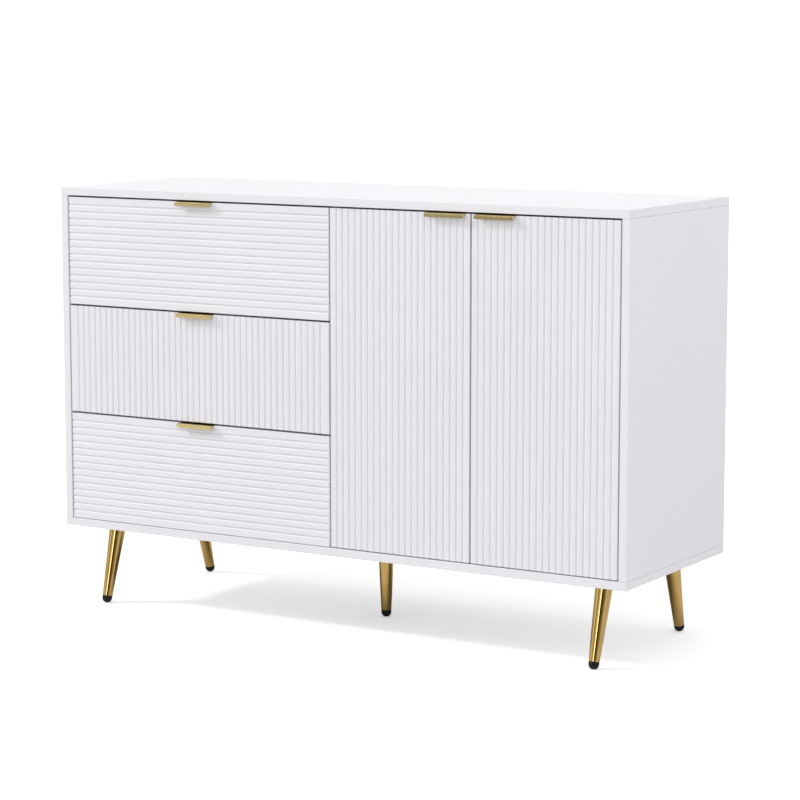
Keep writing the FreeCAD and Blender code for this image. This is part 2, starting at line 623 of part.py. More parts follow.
def add_drawer(number, position):
    """One drawer: a reeded front with its pull, a box of boards and the runners on both sides."""
    name = f"{position}_drawer"
    front_z = f"({CABINET_FLOOR} + drawer_floor_gap + {number} * ({DRAWER_HEIGHT} + front_gap))"
    front_top = f"({front_z} + {DRAWER_HEIGHT})"
    box_z = f"({front_z} + box_lift)"
    floor_z = f"({box_z} + bottom_lift)"
    floor_top = f"({floor_z} + box_bottom)"

    inside = f"({BOX_RIGHT} - {BOX_LEFT} - 2 * box_board)"
    floor = box(
        f"{name}_floor", f"{BOX_LEFT} + box_board - bottom_seat", f"{FRONT_BACK} - bottom_seat", floor_z,
        f"{inside} + 2 * bottom_seat", "box_length + bottom_seat", "box_bottom",
    )
    node(f"{name}_floor", floor)
    for side, x in (("left", BOX_LEFT), ("right", f"{BOX_RIGHT} - box_board")):
        board = rounded_board(f"{name}_{side}", x, FRONT_BACK, box_z, "box_board", "box_length", "box_height")
        node(f"{name}_{side}_side", cut(f"{name}_{side}_side", board, [floor]))
    node(f"{name}_back", rounded_board(
        f"{name}_back", f"{BOX_LEFT} + box_board", f"{BOX_REAR} - box_board", floor_top,
        inside, "box_board", f"box_height - bottom_lift - box_bottom",
    ))

    upright = position == "middle"
    grooves = "drawer_grooves_upright" if upright else "drawer_grooves_flat"
    slab = fluted_slab(
        f"{name}_slab", DRAWER_LEFT, front_z, DRAWER_WIDTH, DRAWER_HEIGHT, upright, grooves, "drawer_pitch",
    )
    pull_x = f"({DRAWER_LEFT} + ({DRAWER_WIDTH} - pull_length) / 2)"
    add_front(f"{name}_front", slab, pull_x, front_top, name, [floor])

    runner_z = f"({box_z} + runner_lift)"
    rail_y = f"{FRONT_BACK} + runner_setback"
    rails = [
        channel(f"{name}_left_rail", LEFT_WALL, runner_z, True, "rail_width", "rail_height", rail_y),
        channel(f"{name}_right_rail", f"{DIVIDER_LEFT} - rail_width", runner_z, False,
                "rail_width", "rail_height", rail_y),
    ]
    sliders = [
        channel(f"{name}_left_slider", f"{BOX_LEFT} - slider_width", runner_z, False,
                "slider_width", "slider_height", FRONT_BACK),
        channel(f"{name}_right_slider", BOX_RIGHT, runner_z, True,
                "slider_width", "slider_height", FRONT_BACK),
    ]
    node(f"{name}_cabinet_runners", group(f"{name}_cabinet_runners", rails))
    node(f"{name}_box_runners", group(f"{name}_box_runners", sliders))


def hinge_heights():
    """Heights of the lower and upper hinge of a door."""
    return (f"({DOOR_FLOOR} + hinge_end_distance)", f"({DOOR_FLOOR} + {DOOR_HEIGHT} - hinge_end_distance)")


def add_door(side, door_x, cup_x, pull_x):
    """One door: a reeded panel with its pull and the cups of its two hinges."""
    name = f"{side}_door"
    cups = []
    bores = []
    for level, z in enumerate(hinge_heights(), start=1):
        tag = f"{name}_cup_{level}"
        bore = cylinder(f"{tag}_bore", cup_x, FRONT_BACK, z, "cup_diameter / 2", "cup_depth", "-y")
        flange = box(
            f"{tag}_flange", f"{cup_x} - cup_flange_width / 2", FRONT_BACK, f"{z} - cup_flange_height / 2",
            "cup_flange_width", "cup_flange", "cup_flange_height",
        )
        hollow = cylinder(
            f"{tag}_hollow", cup_x, f"{FRONT_BACK} + cup_flange", z,
            "cup_diameter / 2 - cup_wall", "cup_depth + cup_flange - cup_wall", "-y",
        )
        cups.append(cut(tag, fuse(f"{tag}_blank", [bore, flange]), [hollow]))
        bores.append(bore)
    slab = fluted_slab(
        f"{name}_slab", door_x, DOOR_FLOOR, DOOR_WIDTH, DOOR_HEIGHT, True,
        "(door_reeds - 1)", f"({DOOR_WIDTH} / door_reeds)",
    )
    door_top = f"({DOOR_FLOOR} + {DOOR_HEIGHT})"
    add_front(f"{name}_panel", slab, pull_x, door_top, name, bores)
    node(f"{name}_hinge_cups", group(f"{name}_hinge_cups", cups))


def add_hinge_arms():
    """The four hinge arms on their plates: two on the divider and two on the right side panel."""
    arms = []
    arm_y = f"{FRONT_EDGE} + arm_setback"
    plate_y = f"{arm_y} + (arm_length - arm_plate_length) / 2"
    mounts = [
        ("left", DIVIDER_RIGHT, f"{DIVIDER_RIGHT} + arm_plate"),
        ("right", f"{RIGHT_WALL} - arm_plate", f"{RIGHT_WALL} - arm_plate - arm_thickness"),
    ]
    for side, plate_x, arm_x in mounts:
        for level, z in enumerate(hinge_heights(), start=1):
            tag = f"{side}_hinge_{level}"
            plate = box(f"{tag}_plate", plate_x, plate_y, f"{z} - arm_plate_height / 2",
                        "arm_plate", "arm_plate_length", "arm_plate_height")
            arm = box(f"{tag}_arm", arm_x, arm_y, f"{z} - arm_height / 2",
                      "arm_thickness", "arm_length", "arm_height")
            arms.append(fuse(tag, [plate, arm]))
    node("hinge_arms", group("hinge_arms", arms))


def check_objects():
    """Stop if any object failed to build, or any sub-part's shape is unusable."""
    for item in doc.Objects:
        if "Invalid" in item.State or "Error" in item.State:
            raise ValueError(f"{item.Name} failed: {item.State}")
    for item in nodes:
        if item.Shape.isNull() or not item.Shape.isValid() or not item.Shape.Solids:
            raise ValueError(f"{item.Label} has no valid shape")


def export_nodes():
    """Write each sub-part to its own file."""
    os.makedirs("parts", exist_ok=True)
    for item in nodes:
        item.Shape.exportStep(f"parts/{item.Label}.step")
        bounds = item.Shape.BoundBox
        print(f"{item.Label:32s} solids {len(item.Shape.Solids):2d} volume {item.Shape.Volume:12.0f}"
              f"  x {bounds.XMin:8.2f} {bounds.XMax:8.2f}  y {bounds.YMin:8.2f} {bounds.YMax:8.2f}"
              f"  z {bounds.ZMin:7.2f} {bounds.ZMax:7.2f}")


fill_sheet()
cam_locks, cam_bolts = add_cam_fittings()
leg_plate_screws = add_legs()
add_carcass(cam_locks, cam_bolts, leg_plate_screws)
for drawer_number, drawer_position in enumerate(DRAWERS):
    add_drawer(drawer_number, drawer_position)
add_door(
    "left", LEFT_DOOR, f"({LEFT_DOOR} + cup_edge_distance)",
    f"({LEFT_DOOR} + {DOOR_WIDTH} - pull_door_offset - pull_length)",
)
add_door(
    "right", RIGHT_DOOR, f"({RIGHT_DOOR} + {DOOR_WIDTH} - cup_edge_distance)",
    f"({RIGHT_DOOR} + pull_door_offset)",
)
add_hinge_arms()
doc.recompute()
check_objects()
export_nodes()
print(len(nodes), "sub-parts")
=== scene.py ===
import json
import math
import bmesh
import bpy
from mathutils import Matrix, Vector


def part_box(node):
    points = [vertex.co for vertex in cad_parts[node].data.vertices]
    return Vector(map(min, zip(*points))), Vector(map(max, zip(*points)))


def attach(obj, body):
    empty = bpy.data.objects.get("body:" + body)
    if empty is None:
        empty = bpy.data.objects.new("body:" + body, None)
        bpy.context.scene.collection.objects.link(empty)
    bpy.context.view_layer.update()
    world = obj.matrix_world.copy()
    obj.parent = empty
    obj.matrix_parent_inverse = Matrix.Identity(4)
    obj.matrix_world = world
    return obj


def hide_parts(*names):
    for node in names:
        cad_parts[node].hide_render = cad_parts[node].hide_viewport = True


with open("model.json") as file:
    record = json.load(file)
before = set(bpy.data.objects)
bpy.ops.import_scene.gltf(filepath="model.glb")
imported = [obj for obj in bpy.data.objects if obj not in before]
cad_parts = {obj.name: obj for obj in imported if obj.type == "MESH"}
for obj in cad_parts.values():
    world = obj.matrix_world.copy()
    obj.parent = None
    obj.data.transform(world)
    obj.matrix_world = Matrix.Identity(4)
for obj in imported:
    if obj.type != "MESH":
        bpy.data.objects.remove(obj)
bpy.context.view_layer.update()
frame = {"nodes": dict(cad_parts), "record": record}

# The looks of a white sideboard with reeded fronts, gold edge pulls and splayed gold legs.
# Everything is in metres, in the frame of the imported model: the front faces -Y.

WHITE_WARM = (0.865, 0.855, 0.89)
WHITE_COOL = (0.845, 0.838, 0.872)

# The studio: a white tent round a pale floor. Its level falls from the horizon to straight up, and
# one wide soft box hangs over the front. Metal mirrors narrower soft boxes, each given by its
# direction in degrees to the right of the front, with dark room between them.
BACKDROP = 1.05
HORIZON_LEVEL = 1.08
ZENITH_LEVEL = 0.73
OVERHEAD_BOX = (0.0, -0.707, 0.707)
OVERHEAD_LEVEL = 0.1
OVERHEAD_FALL = 4
BOX_GAIN = 5.0
SOFT_BOXES = [
    (-180, 1.0), (-125, 1.0), (-105, 0.1), (-78, 0.3), (-66, 0.95), (-54, 0.95),
    (-42, 0.3), (-32, 0.35), (-18, 0.7), (-2, 0.8), (1, 4.5), (6, 4.5),
    (9, 0.03), (27, 0.03), (40, 0.15), (64, 0.3), (84, 0.6), (180, 0.8),
]
FLOOR_SEEN = 0.97
FLOOR_BOUNCE = 0.62
FLOOR_GLOW = 0.3
FLOOR_HALF = 12.0

# Painted light and shade on the floor that only metal mirrors: a painted shadow under the cabinet, an even
# level near it, and painted lit and unlit stretches further off, each given by its direction from the middle
# as above.
UNDER_MIDDLE = (0.02, 0.07)
UNDER_HALF = (0.54, 0.19)
UNDER_BLUR = 0.1
UNDER_SHADOW_LEVEL = 0.1
NEAR_LEVEL = 0.68
NEAR_REACH = 0.9
FAR_FLOOR = [(-180, 0.5), (-80, 0.6), (-60, 0.9), (-33, 0.9), (-28, 0.12), (40, 0.12), (70, 0.6), (180, 0.5)]

# Each light's strength, softness, side and rise, the last three in degrees.
KEY_LIGHT = (1.2, 6, 66, 33)
FILL_LIGHT = (0.32, 60, -100, 10)

# The camera's place and direction in metres, and its lens and film width in millimetres.
CAMERA_PLACE = (2.609, -4.277, 1.120)
CAMERA_LOOK = (-0.51129, 0.84793, -0.13998)
CAMERA_LENS = 122.1
CAMERA_FILM = 36

# Corners of a square round the origin.
SQUARE = ((-1, -1), (1, -1), (1, 1), (-1, 1))

DRAWERS = ["bottom_drawer", "middle_drawer", "top_drawer"]
DOORS = ["left_door", "right_door"]
FRONTS = DRAWERS + DOORS

# Sizes that the frame's boxes don't give, in metres. The ends of a turned solid stop AXIS_GAP from
# its axis.
MM = 0.001
AXIS_GAP = 0.01 * MM
REED_DEPTH = 2.3 * MM
REED_RADIUS = 3.4 * MM
GROOVE_FLOOR = 0.5 * MM
FRONT_ROUNDING = 1.0 * MM
REAR_ROUNDING = 0.8 * MM
DRAWER_PITCH = 13.33 * MM
DRAWER_GROOVES = {"lying": 14, "upright": 42}
DOOR_REEDS = 22
PULL_SHEET = 1.5 * MM
PULL_LIP = 7.5 * MM
PULL_BEND = 2.5 * MM
PULL_REAR_BEND = 1.2 * MM
PULL_CORNER = 1.5 * MM
LEG_LEAN = math.radians(15.6)
LEG_FOOT_RADIUS = 9.5 * MM
LEG_TOP_RADIUS = 16.2 * MM
LEG_BLANK_WASTE = 8.0 * MM
LEG_WALL = 1.5 * MM
CAP_RADIUS = 9.5 * MM
CAP_CENTRE = 9.0 * MM
CAP_BAND = 4.0 * MM
PLUG_RADIUS = 7.8 * MM
PLUG_TOP = 12.0 * MM
CUP_RADIUS = 17.5 * MM
CUP_WALL = 1.0 * MM
CUP_DEPTH = 12.0 * MM
FLANGE_SHEET = 1.2 * MM
FLANGE_HALF_WIDTH = 10.0 * MM
FLANGE_HALF_HEIGHT = 28.0 * MM
FLANGE_SCREW_OFFSET = 22.5 * MM
CAM_RADIUS = 7.5 * MM
CAM_DEPTH = 12.0 * MM
CAM_CROSS = (3.6 * MM, 0.9 * MM)
CAM_CROSS_DEPTH = 3.5 * MM
LEG_PLATE_HALF = 33.0 * MM
LEG_PLATE_SCREW_OFFSET = 25.0 * MM
RUNNER_SHEET = 1.2 * MM
RUNNER_BEND = 2.2 * MM
RAIL_WIDTH = 9.0 * MM
SLIDER_WIDTH = 9.5 * MM
ARM_PLATE = 2.5 * MM
ARM_HEIGHT = 10.5 * MM
ARM_PLATE_SCREW_OFFSET = 14.0 * MM
ARM_ADJUSTER_OFFSET = 13.0 * MM
PIN_RADIUS = 2.5 * MM
PIN_LENGTH = 18.0 * MM
PIN_COLLAR_RADIUS = 4.0 * MM

# Each kind of screw: the radius and height of its head, the radius of its shank, and its length.
SCREWS = {
    "pull_screw": (3.5 * MM, 2.0 * MM, 1.75 * MM, 12.0 * MM),
    "plate_screw": (4.0 * MM, 2.0 * MM, 2.0 * MM, 12.0 * MM),
    "cup_screw": (3.2 * MM, 1.4 * MM, 1.6 * MM, 10.0 * MM),
    "runner_screw": (3.0 * MM, 1.4 * MM, 1.6 * MM, 9.0 * MM),
    "arm_plate_screw": (3.5 * MM, 1.4 * MM, 2.0 * MM, 12.0 * MM),
    "arm_adjuster": (3.2 * MM, 1.2 * MM, 2.0 * MM, 5.0 * MM),
}


class NodeTree:
    """A material's node tree with short calls to add and join nodes."""

    def __init__(self, name):
        self.material = bpy.data.materials.new(name)
        self.material.use_nodes = True
        self.tree = self.material.node_tree
        self.shader = self.tree.nodes["Principled BSDF"]

    def add(self, kind, **values):
        """Add a node of a kind, with its settings."""
        node = self.tree.nodes.new(kind)
        for name, value in values.items():
            setattr(node, name, value)
        return node

    def join(self, source, output, target, socket):
        """Join one node's output to another's input, both by name."""
        self.tree.links.new(source.outputs[output], target.inputs[socket])

    def object_noise(self, scale, detail=3.0, stretch=(1, 1, 1)):
        """Noise that is fixed to the piece, with a frequency in features per metre."""
        place = self.add("ShaderNodeTexCoord")
        mapping = self.add("ShaderNodeMapping")
        mapping.inputs["Scale"].default_value = stretch
        noise = self.add("ShaderNodeTexNoise")
        noise.inputs["Scale"].default_value = scale
        noise.inputs["Detail"].default_value = detail
        self.join(place, "Object", mapping, "Vector")
        self.join(mapping, "Vector", noise, "Vector")
        return noise

    def colour_between(self, source, dark, light, low=0.3, high=0.7):
        """Colour the piece between two tones that follow a texture."""
        ramp = self.add("ShaderNodeValToRGB")
        ramp.color_ramp.elements[0].position = low
        ramp.color_ramp.elements[1].position = high
        ramp.color_ramp.elements[0].color = (*dark, 1)
        ramp.color_ramp.elements[1].color = (*light, 1)
        self.join(source, "Fac", ramp, "Fac")
        self.join(ramp, "Color", self.shader, "Base Color")

    def roughness_between(self, source, low, high):
        """Let the roughness follow a texture between two values."""
        spread = self.add("ShaderNodeMapRange")
        spread.inputs["From Min"].default_value = 0.3
        spread.inputs["From Max"].default_value = 0.7
        spread.inputs["To Min"].default_value = low
        spread.inputs["To Max"].default_value = high
        self.join(source, "Fac", spread, "Value")
        self.join(spread, "Result", self.shader, "Roughness")

    def bump(self, source, strength, distance):
        """Raise and lower the surface with a texture."""
        bump = self.add("ShaderNodeBump")
        bump.inputs["Strength"].default_value = strength
        bump.inputs["Distance"].default_value = distance
        self.join(source, "Fac", bump, "Height")
        self.join(bump, "Normal", self.shader, "Normal")


def satin_white(name, warm, cool, rough_low, rough_high, grain):
    """White lacquer or laminate: a slow drift of tone, patchy gloss and fine orange peel."""
    nodes = NodeTree(name)
    nodes.colour_between(nodes.object_noise(3.0), cool, warm)
    nodes.roughness_between(nodes.object_noise(14.0), rough_low, rough_high)
    nodes.bump(nodes.object_noise(grain, 2.0), 0.12, 0.0004)
    return nodes.material


def hardboard(name, light, dark):
    """White-faced hardboard: pressed fibres that show as fine flecks and a dull, uneven face."""
    nodes = NodeTree(name)
    fibres = nodes.object_noise(420.0, 6.0, (1, 1, 0.35))
    nodes.colour_between(fibres, dark, light, 0.35, 0.6)
    nodes.roughness_between(nodes.object_noise(30.0), 0.55, 0.7)
    nodes.bump(fibres, 0.2, 0.0003)
    return nodes.material


def metal(name, dark, light, rough_low, rough_high, stretch, grain):
    """Metal with a slight drift of tone and a fine directional polish."""
    nodes = NodeTree(name)
    nodes.shader.inputs["Metallic"].default_value = 1.0
    nodes.colour_between(nodes.object_noise(25.0), dark, light)
    polish = nodes.object_noise(grain, 4.0, stretch)
    nodes.roughness_between(polish, rough_low, rough_high)
    nodes.bump(polish, 0.04, 0.0001)
    return nodes.material


def black(name, dark, light, rough_low, rough_high):
    """Dull black with a fine grain."""
    nodes = NodeTree(name)
    nodes.shader.inputs["Specular IOR Level"].default_value = 0.3
    nodes.colour_between(nodes.object_noise(60.0), dark, light)
    nodes.roughness_between(nodes.object_noise(200.0), rough_low, rough_high)
    nodes.bump(nodes.object_noise(900.0, 2.0), 0.15, 0.0003)
    return nodes.material


MATERIALS = {
    "white_board": satin_white("white_laminate", WHITE_WARM, WHITE_COOL, 0.42, 0.5, 900.0),
    "reeded_white": satin_white("white_lacquer", WHITE_WARM, WHITE_COOL, 0.38, 0.46, 1200.0),
    "white_hardboard": hardboard("white_hardboard", (0.81, 0.80, 0.80), (0.765, 0.757, 0.75)),
    "white_plastic": satin_white("white_plastic", (0.82, 0.82, 0.82), (0.8, 0.8, 0.8), 0.4, 0.5, 300.0),
    "polished_gold": metal(
        "polished_gold", (0.70, 0.455, 0.14), (0.78, 0.515, 0.175), 0.06, 0.12, (1, 1, 0.1), 300.0),
    "satin_gold": metal(
        "satin_gold", (0.77, 0.60, 0.29), (0.82, 0.65, 0.33), 0.2, 0.27, (0.1, 1, 1), 500.0),
    "black_rubber": black("black_rubber", (0.006, 0.006, 0.007), (0.011, 0.011, 0.012), 0.45, 0.6),
    "black_plate": black("black_powder_coat", (0.02, 0.02, 0.02), (0.03, 0.03, 0.03), 0.45, 0.6),
    "zinc_fitting": metal(
        "bright_zinc", (0.78, 0.79, 0.81), (0.87, 0.88, 0.89), 0.28, 0.42, (1, 1, 1), 200.0),
}


def outline(corners, steps=5):
    """Points round a closed outline, given corner by corner as (x, y, radius of its rounding)."""
    points = []
    for number, (x, y, radius) in enumerate(corners):
        corner = Vector((x, y))
        before = (Vector(corners[number - 1][:2]) - corner).normalized()
        after = (Vector(corners[(number + 1) % len(corners)][:2]) - corner).normalized()
        half = before.angle(after) / 2
        centre = corner + (before + after).normalized() * (radius / math.sin(half))
        start = corner + before * (radius / math.tan(half)) - centre
        end = corner + after * (radius / math.tan(half)) - centre
        sweep = math.atan2(start.x * end.y - start.y * end.x, start.dot(end))
        for step in range(steps + 1):
            points.append(centre + Matrix.Rotation(sweep * step / steps, 2) @ start)
    return points


def rounded_rectangle(half_width, half_height, radius):
    """The corners of a rectangle round the origin, all with one rounding."""
    return [(x * half_width, y * half_height, radius) for x, y in SQUARE]


def rounded_steps(radius, steps=4):
    """(distance from the end, inset) pairs that round a solid's end off."""
    angles = [math.pi / 2 * step / steps for step in range(steps + 1)]
    return [(radius * (1 - math.cos(angle)), radius * (1 - math.sin(angle))) for angle in angles]


class Shape:
    """A mesh under construction, in metres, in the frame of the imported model."""

    def __init__(self):
        self.mesh = bmesh.new()

    def loft(self, rings, looped=False):
        """Join rings of points into a closed skin: capped at both ends, or joined last to first."""
        loops = [[self.mesh.verts.new(point) for point in ring] for ring in rings]
        pairs = list(zip(loops, loops[1:]))
        if looped:
            pairs.append((loops[-1], loops[0]))
        else:
            self.mesh.faces.new(loops[0][::-1])
            self.mesh.faces.new(loops[-1])
        for first, second in pairs:
            for number in range(len(first)):
                after = (number + 1) % len(first)
                self.mesh.faces.new((first[number], first[after], second[after], second[number]))
        return self

    def turned(self, profile, centre=(0, 0, 0), axis=(0, 0, 1), segments=48, looped=False):
        """Turn a profile of (radius, distance along the axis) points about an axis."""
        turn = Vector((0, 0, 1)).rotation_difference(Vector(axis)).to_matrix()
        rings = []
        for radius, along in profile:
            angles = [2 * math.pi * number / segments for number in range(segments)]
            rings.append([
                Vector(centre) + turn @ Vector((radius * math.cos(angle), radius * math.sin(angle), along))
                for angle in angles
            ])
        return self.loft(rings, looped)

    def slab(self, corners, matrix, thickness, softening, steps=5):
        """A flat plate of a rounded outline, with softened edges, from z = 0 up, set in place by a matrix."""
        rings = []
        ends = rounded_steps(softening, 3)
        levels = ends + [(thickness - away, inset) for away, inset in reversed(ends)]
        flat = outline(corners, steps)
        normals = [
            (flat[(number + 1) % len(flat)] - flat[number - 1]).normalized() for number in range(len(flat))
        ]
        for level, inset in levels:
            rings.append([
                matrix @ Vector((point.x - inset * normal.y, point.y + inset * normal.x, level))
                for point, normal in zip(flat, normals)
            ])
        return self.loft(rings)

    def block(self, low, high):
        """A plain box between two corners."""
        size = Vector(high) - Vector(low)
        place = Matrix.Translation(low) @ Matrix.Diagonal((*size, 1))
        corners = [(0, 0), (1, 0), (1, 1), (0, 1)]
        return self.loft([[place @ Vector((x, y, level)) for x, y in corners] for level in (0, 1)])

    def bar(self, matrix, half_length, half_width, ends):
        """A bar with square corners between two ends, each given by its level and its scale."""
        return self.loft([
            [matrix @ Vector((x * half_length * scale, y * half_width * scale, level)) for x, y in SQUARE]
            for level, scale in ends
        ])

    def add(self, mesh, matrix):
        """Add a copy of a finished mesh, set in place by a matrix."""
        before = len(self.mesh.verts)
        self.mesh.from_mesh(mesh)
        self.mesh.verts.ensure_lookup_table()
        bmesh.ops.transform(self.mesh, matrix=matrix, verts=self.mesh.verts[before:])
        return self

    def finished(self, name):
        """Close the shape and hand it over as a mesh with its normals outwards."""
        bmesh.ops.remove_doubles(self.mesh, verts=self.mesh.verts, dist=1e-7)
        bmesh.ops.recalc_face_normals(self.mesh, faces=self.mesh.faces)
        mesh = bpy.data.meshes.new(name)
        self.mesh.to_mesh(mesh)
        self.mesh.free()
        return mesh


def evaluated(item, name):
    """The mesh that an object's modifiers make."""
    bpy.context.view_layer.update()
    seen = item.evaluated_get(bpy.context.evaluated_depsgraph_get())
    mesh = bpy.data.meshes.new_from_object(seen)
    mesh.name = name
    return mesh


def carved(mesh, tools):
    """The mesh with a shape taken out of it."""
    base = bpy.data.objects.new("base", mesh)
    cutter = bpy.data.objects.new("cutter", tools.finished("cutter"))
    for item in (base, cutter):
        bpy.context.scene.collection.objects.link(item)
    cut = base.modifiers.new("cut", "BOOLEAN")
    cut.object = cutter
    cut.solver = "EXACT"
    result = evaluated(base, mesh.name)
    for item in (base, cutter):
        bpy.data.objects.remove(item)
    return result


def piece(name, mesh, slot, body, replaced=(), sharp=30):
    """Dress a mesh, hang it on a body and let it stand for CAD nodes.

    Normals follow the larger faces, so flats stay flat beside their rounded edges.
    """
    mesh.shade_smooth()
    mesh.set_sharp_from_angle(angle=math.radians(sharp))
    mesh.materials.clear()
    mesh.materials.append(MATERIALS[slot])
    item = bpy.data.objects.new(name, mesh)
    bpy.context.scene.collection.objects.link(item)
    flats = item.modifiers.new("flats", "WEIGHTED_NORMAL")
    flats.keep_sharp = True
    item.data = evaluated(item, name)
    item.modifiers.clear()
    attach(item, body)
    if replaced:
        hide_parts(*replaced)
    return item


def groove_points():
    """(distance from a groove's middle, depth) of the points across one groove."""
    rise = REED_RADIUS - REED_DEPTH
    half = GROOVE_FLOOR / 2 + math.sqrt(REED_RADIUS ** 2 - rise ** 2)
    last = math.acos(rise / REED_RADIUS)
    steps = 7
    angles = [last * step / steps for step in range(steps + 1)]
    left = [(REED_RADIUS * math.sin(angle) - half, REED_RADIUS * (1 - math.cos(angle))) for angle in angles]
    return left + [(-offset, depth) for offset, depth in reversed(left)]


def front_shape(low, high, upright, middles):
    """A slab with grooves at the given places across its front; every edge follows them, rounded."""
    across, along = (0, 2) if upright else (2, 0)
    ends = rounded_steps(FRONT_ROUNDING)
    stations = [(low[across] + away, 0.0, inset) for away, inset in ends]
    for middle in middles:
        stations += [(middle + offset, depth, 0.0) for offset, depth in groove_points()]
    stations += [(high[across] - away, 0.0, inset) for away, inset in reversed(ends)]

    rings = []
    for place, depth, inset in stations:
        start, end = low[along] + inset, high[along] - inset
        face, rear = low.y + depth + inset, high.y - inset
        front_radius = max(FRONT_ROUNDING - inset, 0.1 * MM)
        rear_radius = max(REAR_ROUNDING - inset, 0.1 * MM)
        ring = []
        section = outline([
            (start, face, front_radius), (end, face, front_radius),
            (end, rear, rear_radius), (start, rear, rear_radius),
        ], 4)
        for run, level in section:
            point = Vector((0, level, 0))
            point[across] = place
            point[along] = run
            ring.append(point)
        rings.append(ring)
    return Shape().loft(rings)


def pull_notch(shape, pull):
    """The seat of a pull's plate in the top edge of its front."""
    low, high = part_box(pull)
    play = 0.05 * MM
    shape.block((low.x - play, low.y, high.z - PULL_SHEET - play), (high.x + play, high.y, high.z + MM))


def make_drawer_front(name, upright):
    """A drawer's front with lying or upright reeds, and seats for its pull and its floor."""
    node = f"{name}_front"
    low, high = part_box(node)
    count = DRAWER_GROOVES["upright" if upright else "lying"]
    axis = 0 if upright else 2
    first = (low[axis] + high[axis] - (count - 1) * DRAWER_PITCH) / 2
    mesh = front_shape(low, high, upright, [first + number * DRAWER_PITCH for number in range(count)])
    seats = Shape()
    pull_notch(seats, f"{name}_pull")
    seats.block(*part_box(f"{name}_floor"))
    piece(f"{name}_reeded_front", carved(mesh.finished(node), seats), "reeded_white", name, [node])


def cup_centres(cups):
    """Middle of each of a door's two hinge cups, on the door's rear face."""
    low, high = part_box(cups)
    levels = (low.z + FLANGE_HALF_HEIGHT, high.z - FLANGE_HALF_HEIGHT)
    return [Vector(((low.x + high.x) / 2, high.y - FLANGE_SHEET, z)) for z in levels]


def make_door_panel(name):
    """A door's panel with upright reeds, and seats for its pull and its hinge cups."""
    node = f"{name}_panel"
    low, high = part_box(node)
    pitch = (high.x - low.x) / DOOR_REEDS
    mesh = front_shape(low, high, True, [low.x + number * pitch for number in range(1, DOOR_REEDS)])
    seats = Shape()
    pull_notch(seats, f"{name}_pull")
    for centre in cup_centres(f"{name}_hinge_cups"):
        seats.turned([(CUP_RADIUS, -MM), (CUP_RADIUS, CUP_DEPTH)], centre, (0, -1, 0), 96)
    piece(f"{name}_reeded_panel", carved(mesh.finished(node), seats), "reeded_white", name, [node])


def make_pull(name):
    """A pull bent from one strip of sheet, with its lip's lower corners rounded and its edges softened."""
    node = f"{name}_pull"
    low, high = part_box(node)
    soft = 0.35 * MM
    ends = [(away, inset, PULL_CORNER) for away, inset in rounded_steps(soft, 3)]
    sweep = [PULL_CORNER * (1 - math.cos(math.pi / 2 * step / 6)) for step in range(1, 7)]
    stations = [(away, inset) for away, inset, _ in ends] + [(away, 0.0) for away in sweep if away > soft]
    stations = [(low.x + away, inset, away) for away, inset in stations] + [
        (high.x - away, inset, away) for away, inset in reversed(stations)
    ]
    rings = []
    for x, inset, away in stations:
        within = PULL_CORNER - min(away, PULL_CORNER)
        lift = PULL_CORNER - math.sqrt(PULL_CORNER ** 2 - within ** 2)
        front, rear, top = low.y + inset, high.y - inset, high.z - inset
        lip = high.z - PULL_LIP + lift + inset
        foot = low.z + lift + inset
        inner_front, inner_rear = low.y + PULL_SHEET - inset, high.y - PULL_SHEET + inset
        under = high.z - PULL_SHEET + inset
        edge = soft * 0.9
        ring = outline([
            (front, lip, edge), (front, top, PULL_BEND), (rear, top, PULL_REAR_BEND), (rear, foot, edge),
            (inner_rear, foot, edge), (inner_rear, under, edge),
            (inner_front, under, PULL_BEND - PULL_SHEET), (inner_front, lip, edge),
        ], 6)
        rings.append([Vector((x, y, z)) for y, z in ring])
    piece(f"{name}_edge_pull", Shape().loft(rings).finished(node), "satin_gold", name, [node])


def screw_mesh(name):
    """A pan-head screw with a cross recess: its head below z = 0 and its shank above."""
    head_radius, head_height, shank_radius, length = SCREWS[name]
    head = [(head_radius * math.cos(math.pi / 2 * step / 5), -head_height * (0.45 + 0.55 * math.sin(
        math.pi / 2 * step / 5))) for step in range(6)]
    profile = [(AXIS_GAP, length), (shank_radius * 0.5, length - MM), (shank_radius, length - 2.5 * MM),
               (shank_radius, 0.0), (head_radius, 0.0)] + head[:-1] + [(head_radius * 0.2, -head_height)]
    mesh = Shape().turned(profile, segments=32).finished(name)
    blade, reach, depth = 0.55 * MM, head_radius * 0.55, head_height * 0.6
    ends = ((-head_height - MM, 1.2), (-head_height + depth, 0.55))
    for turn in (0, 90):
        matrix = Matrix.Rotation(math.radians(turn), 4, "Z")
        mesh = carved(mesh, Shape().bar(matrix, reach, blade, ends))
    return mesh


def make_screws(node, mesh, places, turn, body):
    """Copies of one screw at several places, all turned the same way."""
    shape = Shape()
    for place in places:
        shape.add(mesh, Matrix.Translation(place) @ turn)
    piece(f"{node}_detailed", shape.finished(node), "zinc_fitting", body, [node])


def leg_frame(mount):
    """A leg's foot centre and axis from its mount: it leans towards the cabinet's middle as it rises."""
    x, y, _ = mount["pos_m"]
    lean = 0.0 if abs(y) < MM else math.copysign(LEG_LEAN, -y)
    return Vector((x, y, CAP_CENTRE)), Vector((0, math.sin(lean), math.cos(lean)))


